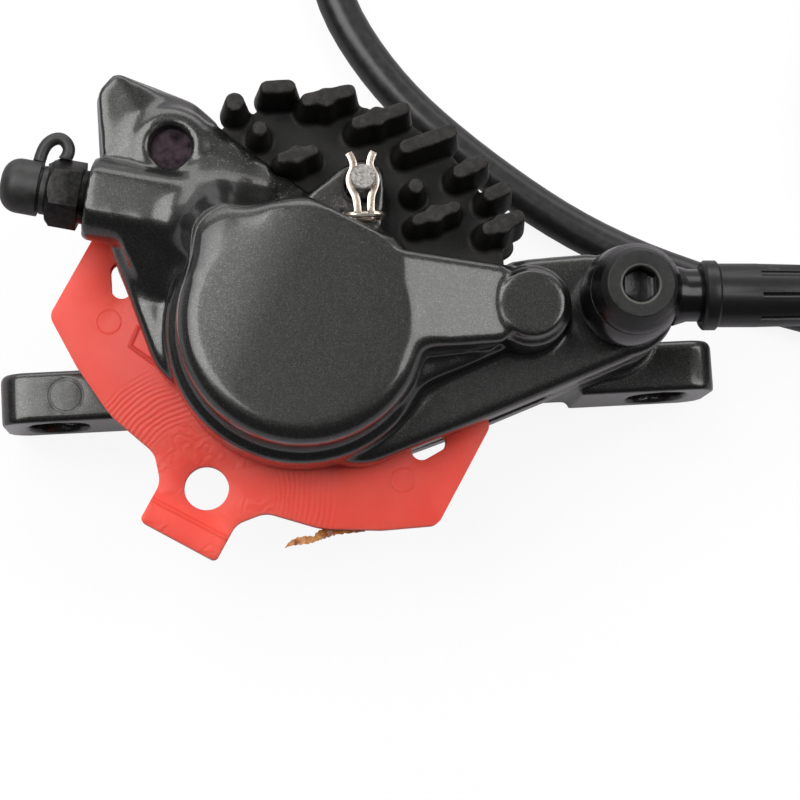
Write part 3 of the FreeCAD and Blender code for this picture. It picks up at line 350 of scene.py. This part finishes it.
# Cooling fins: a cast aluminium sheet on each pad's back with a bank of bars and pins that stand
# out of the caliper. They are coated matt black, and their tips have gathered pale dust.
fin_cell = 0.00024
fin_passes = 4
fin_tip = (0.0118, 0.0124)
coated = Finish("matt_black_coat", specular_ior_level=0.24)
pads = coated.turned(pad_centre, -pad_turn)
tip = coated.part(pads, 2).sum("ABSOLUTE").fade(*fin_tip)
chalk = coated.noise(1300.0, 5.0, 0.65)
grain = coated.noise(5200.0, 3.0)
dust = (tip * chalk.fade(0.40, 0.66) * 0.40) + (chalk.fade(0.50, 0.75) * 0.16)
coated.feed("Base Color", coated.mix(dust, (0.0125, 0.0115, 0.0105, 1.0), (0.058, 0.052, 0.046, 1.0)))
coated.feed("Roughness", (dust * 0.3) + (grain * 0.16) + 0.38)
coated.bump((grain * 0.5) + (chalk * 0.7), 0.00005)
for end in ("front", "rear"):
    fins = cast_skin("cooling_fin_" + end, "cooling_fin_" + end + "_casting", fin_cell, fin_passes)
    fins.data.materials.append(coated.material)
    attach(fins, "pad_" + end)

# Return spring: a leaf bent from thin steel strip. It stands between the two pads and pushes them
# apart.
spring_steel = Finish("spring_steel", metallic=1.0)
rolled = spring_steel.noise(900.0, 3.0)
spring_steel.feed("Base Color", rolled.ramp((0.3, (0.36, 0.35, 0.33)), (0.7, (0.50, 0.49, 0.46))))
spring_steel.feed("Roughness", spring_steel.noise(400.0) * 0.2 + 0.25)
leaf = bpy.data.objects.new("pad_return_leaf", nodes["pad_return_spring"].data.copy())
scene.collection.objects.link(leaf)
leaf.data.materials.clear()
leaf.data.materials.append(spring_steel.material)
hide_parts("pad_return_spring")
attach(leaf, "caliper")
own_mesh(leaf)

# Pad pin and clip: a steel pin with a grit-blasted end goes through both halves and the pads. A
# snap clip of pale plated wire sits in its groove and keeps it in.
blasted = Finish("blasted_steel", metallic=1.0)
pits = blasted.noise(2400.0, 4.0, 0.7)
blasted.feed("Base Color", pits.ramp((0.35, (0.20, 0.19, 0.18)), (0.6, (0.50, 0.48, 0.45)),
                                     (0.75, (0.80, 0.77, 0.72))))
blasted.feed("Roughness", pits * 0.3 + 0.34)
blasted.bump(pits, 0.00030)
dress("pad_pin", blasted.material, 0.0001)
wire = Finish("champagne_plating", metallic=1.0)
tint = wire.noise(1200.0, 3.0)
wire.feed("Base Color", tint.ramp((0.3, (0.62, 0.52, 0.42)), (0.7, (0.80, 0.72, 0.63))))
wire.feed("Roughness", tint * 0.15 + 0.2)
dress("pin_clip", wire.material, 0.00012)

# Bleed nipple and its cap: a black-plated hexagon screw under a soft rubber cap, whose loop runs
# to a ring on the nipple's neck.
black_plate = Finish("black_plating", metallic=0.85)
scuff = black_plate.noise(1500.0, 5.0, 0.6)
black_plate.feed("Base Color", scuff.ramp((0.4, (0.010, 0.010, 0.010)), (0.75, (0.035, 0.033, 0.030))))
black_plate.feed("Roughness", scuff * 0.25 + 0.26)
black_plate.bump(scuff, 0.00003)
dress("bleed_nipple", black_plate.material, 0.00014)
cap_rubber = Finish("cap_rubber")
bloom = cap_rubber.noise(850.0, 4.0)
cap_rubber.feed("Base Color", bloom.ramp((0.35, (0.010, 0.0098, 0.0095)), (0.75, (0.030, 0.029, 0.027))))
cap_rubber.feed("Roughness", bloom * 0.22 + 0.36)
cap_rubber.bump(bloom, 0.00004)
dress("bleed_cap", cap_rubber.material)

# Hose joint: a turned aluminium eye, held down on its boss by a hollow bolt between two sealing
# washers. The eye is gloss black, and the bolt's face is turned satin black, with a painted highlight
# round the mouth of its socket and painted shade in the dish just inside it.
bolt_face = (0.0322, 0.0325)
gloss = Finish("gloss_black_anodising", metallic=0.1, coat_weight=0.2, coat_roughness=0.08,
               specular_ior_level=0.35)
haze = gloss.noise(1100.0, 4.0)
mote = 1 - gloss.cells(1700.0).fade(0.06, 0.16)
haze_dust = mote * gloss.noise(300.0).fade(0.56, 0.66)
gloss.feed("Base Color", gloss.mix(haze_dust, (0.006, 0.006, 0.0065, 1.0), (0.16, 0.15, 0.13, 1.0)))
gloss.feed("Roughness", (haze * 0.14) + (haze_dust * 0.3) + 0.16)
gloss.bump(haze, 0.00002)
dress("banjo", gloss.material, 0.0001)
screw = Finish("satin_black_anodising_with_painted_light", metallic=0.35)
tooled = screw.noise(1600.0, 5.0, 0.65)
satin = tooled.ramp((0.35, (0.009, 0.009, 0.0085)), (0.8, (0.024, 0.023, 0.022)))
# Painted highlight: a pale ring of colour round the socket's mouth. Painted shade: the face is darkened
# inside that ring, where the dish would fall into shade.
dish = screw.away(hose_axis)
painted_mouth_highlight = dish.fade(0.00200, 0.00212) * (1 - dish.fade(0.00222, 0.00236))
face_and_painted_dish_shade = screw.part(screw.place, 2).fade(*bolt_face) * (1 - (1 - dish.fade(0.00205, 0.00222)) * 0.7)
face = screw.mix(face_and_painted_dish_shade, (0.006, 0.006, 0.0062, 1.0), satin)
screw.feed("Base Color", screw.mix(painted_mouth_highlight, face, (0.09, 0.088, 0.08, 1.0)))
screw.feed("Roughness", (tooled * 0.2) + (face_and_painted_dish_shade * 0.22) + 0.14)
screw.bump(tooled, 0.00004)
dress("banjo_bolt", screw.material, 0.00012)
for node in ("hose_seal_lower", "hose_seal_upper"):
    dress(node, rubber.material)

# Boot: a moulded sleeve that is pushed over the eye's neck and the start of the hose. It is gloss
# black, smooth by its collar and fluted to its tail, where it is a little scratched.
scratched_end = (0.043, 0.046)
boot = Finish("boot_gloss_black", coat_weight=0.1, coat_roughness=0.15, specular_ior_level=0.38)
rub = boot.noise(1400.0, 5.0, 0.6)
scratch = boot.noise(260.0, 6.0, 0.7).fade(0.58, 0.72) * boot.part(boot.place, 0).fade(*scratched_end)
boot.feed("Base Color", boot.mix(scratch, (0.006, 0.006, 0.006, 1.0), (0.05, 0.048, 0.045, 1.0)))
boot.feed("Roughness", (rub * 0.2) + (scratch * 0.2) + 0.28)
boot.bump(rub, 0.00002)
dress("hose_boot", boot.material, 0.00012)

# Hose: a metre of 5 mm brake hose, black plastic over a braid. It leaves the joint to the right,
# comes round in one wide loop on the floor, runs under the fins and the joint again, and the rest is
# wound into a small coil.
hose_diameter = 0.005
hose_route = [
    (0.0390, 0.0083, 0.0259), (0.0720, 0.0068, 0.0259), (0.0840, 0.0080, 0.0240), (0.1040, 0.0190, 0.0170),
    (0.1145, 0.0390, 0.0105), (0.1115, 0.0610, 0.0090), (0.0980, 0.0790, 0.0040), (0.0780, 0.0890, -0.0030),
    (0.0560, 0.0930, -0.00425), (0.0330, 0.0930, -0.00425), (0.0120, 0.0865, -0.00425),
    (-0.0005, 0.0725, -0.00425), (-0.0015, 0.0565, -0.00425), (0.0056, 0.0428, -0.00425),
    (0.0170, 0.0315, -0.00425), (0.0315, 0.0206, -0.00425), (0.0490, 0.0132, -0.00425),
    (0.0680, 0.0074, -0.00425),
]
coil_centre = (0.0935, 0.0360)
coil_radius = 0.0285
coil_start = -90
coil_end = 1248
coil_step = 24
coil_foot = -0.00425
turn_in = (196, 256)
layer_up = (492, 556)
turn_out = (796, 856)
last_up = (1130, 1205)
last_rise = 0.0052
tail_start = 197.5
tail_step = 35
tail_heights = (0.0064, 0.0074, 0.0078)
tail_way = math.radians(15)
tail_run = 0.025
tail_rise = 0.0007


def eased(value, low, high):
    share = min(max((value - low) / (high - low), 0.0), 1.0)
    return share * share * (3 - 2 * share)


def coil_point(angle, step, radius, height):
    """A control point at an angle in degrees, far enough out for the curve to touch the radius."""
    reach = radius / math.cos(math.radians(step / 2))
    turn = math.radians(angle)
    return coil_centre[0] + reach * math.cos(turn), coil_centre[1] + reach * math.sin(turn), height


def coil_points():
    """Turns from 90 degrees below the X axis: out, in, up a layer, out again, and up on top."""
    points = []
    for angle in range(coil_start, coil_end, coil_step):
        inset = eased(angle, *turn_in) - eased(angle, *turn_out)
        radius = coil_radius - hose_diameter * inset
        height = coil_foot + hose_diameter * eased(angle, *layer_up) + last_rise * eased(angle, *last_up)
        points.append(coil_point(angle, coil_step, radius, height))
    return points


def tail_route():
    """Across the top of the coil to its cut end, in the connector."""
    points = []
    for k, height in enumerate(tail_heights):
        points.append(coil_point(tail_start + tail_step * k, tail_step, coil_radius, height))
    run = Vector((math.cos(tail_way), math.sin(tail_way), 0.0)) * tail_run + Vector((0, 0, tail_rise))
    return points[1:] + [tuple(Vector(points[-1]) + run)]


def hose_line(name, points):
    curve = bpy.data.curves.new(name, "CURVE")
    curve.dimensions = "3D"
    line = curve.splines.new("NURBS")
    line.points.add(len(points) - 1)
    for place, point in zip(line.points, points):
        place.co = (*point, 1.0)
    line.order_u = 3
    line.use_endpoint_u = True
    line.resolution_u = 6
    curve.bevel_depth = hose_diameter / 2
    curve.bevel_resolution = 7
    curve.use_fill_caps = True
    piece = bpy.data.objects.new(name, curve)
    scene.collection.objects.link(piece)
    return piece


sheath = Finish("hose_sheath", coat_weight=0.1, coat_roughness=0.2)
skin = sheath.noise(1000.0, 4.0)
sheath.feed("Base Color", skin.ramp((0.35, (0.0085, 0.0085, 0.0088)), (0.8, (0.020, 0.020, 0.020))))
sheath.feed("Roughness", skin * 0.18 + 0.26)
sheath.bump(skin, 0.00003)
hose = hose_line("brake_hose", hose_route + coil_points() + tail_route())
hose.data.materials.append(sheath.material)
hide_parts("hose_tube", "hose_coil", "hose_tail")
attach(hose, "caliper")

# Connector: a flanged steel nut, a brass olive and a tubular insert on the hose's cut end. The
# insert is driven into the hose, and the nut will squeeze the olive on it.
dress("connector_nut", black_plate.material, 0.0001)
brass = Finish("olive_brass", metallic=1.0)
tarnish = brass.noise(900.0, 3.0)
brass.feed("Base Color", tarnish.ramp((0.3, (0.52, 0.36, 0.14)), (0.7, (0.70, 0.52, 0.24))))
brass.feed("Roughness", tarnish * 0.2 + 0.22)
dress("connector_olive", brass.material)
dress("connector_insert", plated.material)

# Spacer: a moulded plastic sheet that keeps the pads apart on the way to the shop. It is red, a
# little shiny, and shows the flow lines of its mould, a raised triangle, two ejector marks and a
# ridge along its grip.
gate = (-0.0192, -0.0097)
gate_ripple = 10500.0
triangle_corners = [(-0.0263, 0.0095), (-0.0273, 0.0074), (-0.0237, 0.0045)]
raised_line = 0.0004
grip_ridge = [(-0.0260, -0.01045), (-0.0171, -0.01575)]
spacer_marks = [(-0.0297, 0.0104), (0.0038, -0.0100)]
spacer_mark_radius = 0.0014
spacer = Finish("red_moulding", roughness=0.45, subsurface_weight=0.5, subsurface_scale=0.003,
                specular_ior_level=0.35)
spacer.shader.inputs["Subsurface Radius"].default_value = (1.0, 0.25, 0.1)
cloud = spacer.noise(120.0, 3.0)
triangle = spacer.ridge(triangle_corners[0], triangle_corners[1], raised_line)
triangle = triangle.sum("MAXIMUM", spacer.ridge(triangle_corners[1], triangle_corners[2], raised_line))
red = cloud.ramp((0.35, (0.93, 0.078, 0.052)), (0.7, (0.99, 0.108, 0.074)))
spacer.feed("Base Color", spacer.mix(triangle * 0.7, red, (0.55, 0.025, 0.020, 1.0)))
reach = spacer.away(gate)
flow = ((reach * gate_ripple) + (spacer.noise(160.0, 2.0) * 14.0)).sum("SINE")
flow = flow * reach.fade(0.0065, 0.0100) * (1 - reach.fade(0.0148, 0.0160)) * cloud.fade(0.30, 0.45)
crinkle = ((spacer.noise(330.0, 2.0) * 40.0) + (reach * 3000.0)).sum("SINE")
wrinkle = crinkle * (1 - reach.fade(0.0085, 0.0115)) * spacer.noise(260.0, 1.0).fade(0.42, 0.58)
stamp = triangle.sum("MAXIMUM", spacer.ridge(*grip_ridge, raised_line))
for centre in spacer_marks:
    ring = (spacer.away(centre) - spacer_mark_radius).sum("ABSOLUTE").fade(0.0, 0.00018)
    stamp = stamp.sum("MAXIMUM", 0.4 - ring * 0.4)
spacer.bump((flow * 0.24) + (wrinkle * 0.22) + (stamp * 1.6) + (spacer.noise(700.0, 3.0) * 0.3), 0.00008)
dress("pad_spacer", spacer.material, 0.00040)

# Tape scrap: a torn strip of amber film that has stuck to the back of the spacer. It runs out to a
# point, and its edges are ragged. Its line is in millimetres, as (x, y, width).
tape_line = [
    (-10.42, -17.00, 0.05), (-9.69, -16.53, 0.58), (-8.86, -16.29, 0.88), (-7.68, -16.23, 0.94),
    (-6.80, -16.16, 0.62), (-6.37, -15.83, 1.05), (-5.65, -15.52, 1.17), (-4.69, -15.20, 1.30),
    (-3.28, -15.14, 1.17), (-1.88, -15.28, 0.80), (-0.60, -15.58, 0.05),
]
tape_steps = 4
tape_height = 12.64
tape_film = 0.08
tape_wave = 0.10
tape_tear = 0.16


def torn_strip(name):
    """A thin ribbon along the line, with a little wobble in its width and height."""
    edges = []
    for (x, y, wide), (next_x, next_y, next_wide) in zip(tape_line, tape_line[1:]):
        run = Vector((next_x - x, next_y - y, 0.0)).normalized()
        side = Vector((-run.y, run.x, 0.0))
        for step in range(tape_steps):
            share = step / tape_steps
            k = len(edges)
            middle = Vector((x + (next_x - x) * share, y + (next_y - y) * share,
                             tape_height + tape_wave * math.sin(k * 0.7)))
            half = (wide + (next_wide - wide) * share) / 2
            tear = [half * (1 + tape_tear * math.sin(k * 2.3 + turn)) for turn in (0.0, 2.1)]
            edges.append((middle - side * tear[0], middle + side * tear[1]))
    film = Vector((0.0, 0.0, tape_film))
    points = [tuple(corner * 0.001) for low, high in edges for corner in (low, high, low + film, high + film)]
    faces = [(0, 2, 3, 1)]
    for k in range(0, 4 * len(edges) - 4, 4):
        faces += [(k, k + 1, k + 5, k + 4), (k + 2, k + 6, k + 7, k + 3), (k, k + 4, k + 6, k + 2),
                  (k + 1, k + 3, k + 7, k + 5)]
    last = 4 * len(edges) - 4
    faces.append((last, last + 1, last + 3, last + 2))
    mesh = bpy.data.meshes.new(name)
    mesh.from_pydata(points, [], faces)
    piece = bpy.data.objects.new(name, mesh)
    scene.collection.objects.link(piece)
    return piece


amber = Finish("amber_film", roughness=0.3, transmission_weight=0.15)
stain = amber.noise(900.0, 4.0)
amber.feed("Base Color", stain.ramp((0.35, (0.30, 0.075, 0.010)), (0.55, (0.60, 0.22, 0.03)),
                                    (0.75, (0.72, 0.36, 0.10))))
amber.bump(stain, 0.00020)
tape = torn_strip("torn_tape")
tape.data.materials.append(amber.material)
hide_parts("tape_scrap")
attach(tape, "spacer")

# Floor and light: a white table that keeps a faint shadow, under one large soft light above and to
# the left, with a weaker one to the right, a low one behind, and pale walls around.
table_size = 1.5
table_top = -0.00677
table = Finish("pale_table", roughness=0.9)
seen = table.node("ShaderNodeLightPath", {}, {}, "Is Camera Ray")
shine = table.node("ShaderNodeLightPath", {}, {}, "Is Glossy Ray")
through = table.node("ShaderNodeLightPath", {}, {}, "Is Transmission Ray")
table.feed("Base Color", table.mix(seen, (0.45, 0.42, 0.45, 1.0), (1.0, 1.0, 1.0, 1.0)))
glow = table.node("ShaderNodeEmission", {}, {0: (1.0, 1.0, 1.0, 1.0), 1: 1.0})
share = (seen.sum("MAXIMUM", through) * 0.9).sum("MAXIMUM", shine * 0.15)
mixed = table.node("ShaderNodeMixShader", {}, {0: share, 1: Value(table, table.shader.outputs[0]), 2: glow})
table.join(mixed, "Material Output", "Surface")
floor_mesh = bpy.data.meshes.new("table_top")
floor_mesh.from_pydata([(-table_size, -table_size, 0), (table_size, -table_size, 0),
                        (table_size, table_size, 0), (-table_size, table_size, 0)], [], [(0, 1, 2, 3)])
floor = bpy.data.objects.new("table_top", floor_mesh)
floor.location = (0, 0, table_top)
floor_mesh.materials.append(table.material)
scene.collection.objects.link(floor)

room = bpy.data.worlds.new("room")
room.use_nodes = True
scene.world = room
walls = Nodes(room.node_tree)
direction = walls.node("ShaderNodeTexCoord", {}, {}, "Generated")
shade = walls.part(direction, 1).ramp((0.0, (0.06, 0.0588, 0.0612)), (0.5, (0.22, 0.2156, 0.2244)),
                                      (1.0, (1.0, 1.0, 1.0)))
walls.join(shade, "Background", "Color")
room.node_tree.nodes["Background"].inputs["Strength"].default_value = 1.0


def soft_light(name, place, size, watts, target):
    light = bpy.data.lights.new(name, "AREA")
    light.shape = "RECTANGLE"
    light.size, light.size_y = size
    light.energy = watts
    lamp = bpy.data.objects.new(name, light)
    lamp.location = place
    lamp.rotation_euler = (Vector(target) - Vector(place)).to_track_quat("-Z", "Y").to_euler()
    scene.collection.objects.link(lamp)


soft_light("soft_left", (-0.370, 0.20, 0.57), (0.59, 0.50), 4.4, (-0.370, 0.20, 0.0))
soft_light("soft_right", (0.42, 0.08, 0.42), (0.30, 0.50), 1.8, (0.10, 0.02, 0.0))
soft_light("soft_back", (0.0, 0.60, 0.22), (0.9, 0.3), 1.6, (0.0, 0.0, 0.03))

# Camera: a long lens nearly straight above the caliper, a little below and to the left of its
# middle. Its three axes were worked out from the two lugs and the round cover.
lens = bpy.data.cameras.new("camera")
lens.sensor_width = 36.0
lens.lens = 102.57
camera = bpy.data.objects.new("camera", lens)
right = Vector((0.99614, -0.05902, 0.06511))
upward = Vector((0.05016, 0.99022, 0.13021))
back = Vector((-0.07216, -0.12645, 0.98935))
place = Matrix((right, upward, back)).transposed().to_4x4()
place.translation = (-0.015403, -0.034418, 0.280)
camera.matrix_world = place
scene.collection.objects.link(camera)
scene.camera = camera
scene.view_settings.view_transform = "Standard"
